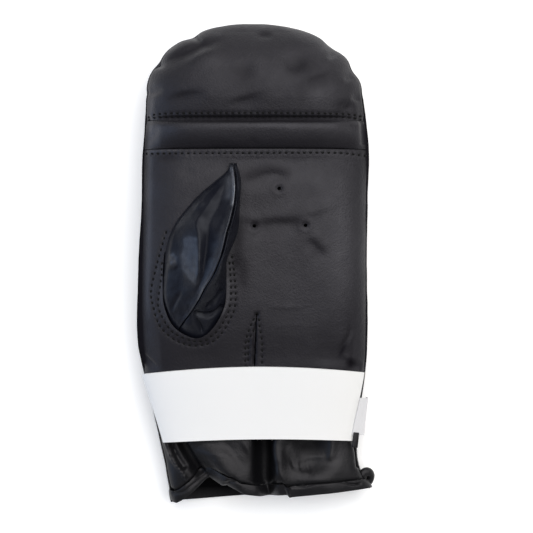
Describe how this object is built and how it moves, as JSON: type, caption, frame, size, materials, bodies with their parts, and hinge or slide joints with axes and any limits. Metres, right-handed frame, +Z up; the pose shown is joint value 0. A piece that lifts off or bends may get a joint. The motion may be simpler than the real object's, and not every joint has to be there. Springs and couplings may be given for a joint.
{
  "type": "leather bag glove",
  "caption": "Padded leather glove for punch-bag training, with grip bar, sewn-on leather thumb, elastic wrist band and gathered cuff.",
  "frame": {"origin": "on the floor, under the middle of the glove's overall box, as it lies palm up", "axes": "+X to the right seen from above, +Y towards the fingertips, +Z up out of the palm"},
  "size_m": [0.133, 0.27, 0.0691],
  "materials": {
    "black_leather": "satin",
    "thumb_leather": "satin",
    "cuff_leather": "satin",
    "white_elastic": "matte",
    "white_satin": "satin",
    "black_thread": "matte"
  },
  "bodies": {
    "root": {"back_pad": "black_leather", "palm_panel": "black_leather", "finger_panel": "black_leather", "grip_bar": "black_leather", "thumb_front": "thumb_leather", "thumb_side": "thumb_leather", "elastic_band": "white_elastic", "cuff_front": "cuff_leather", "cuff_back": "cuff_leather", "hem_front": "cuff_leather", "hem_back": "cuff_leather", "side_label": "white_satin"}
  },
  "joints": []
}
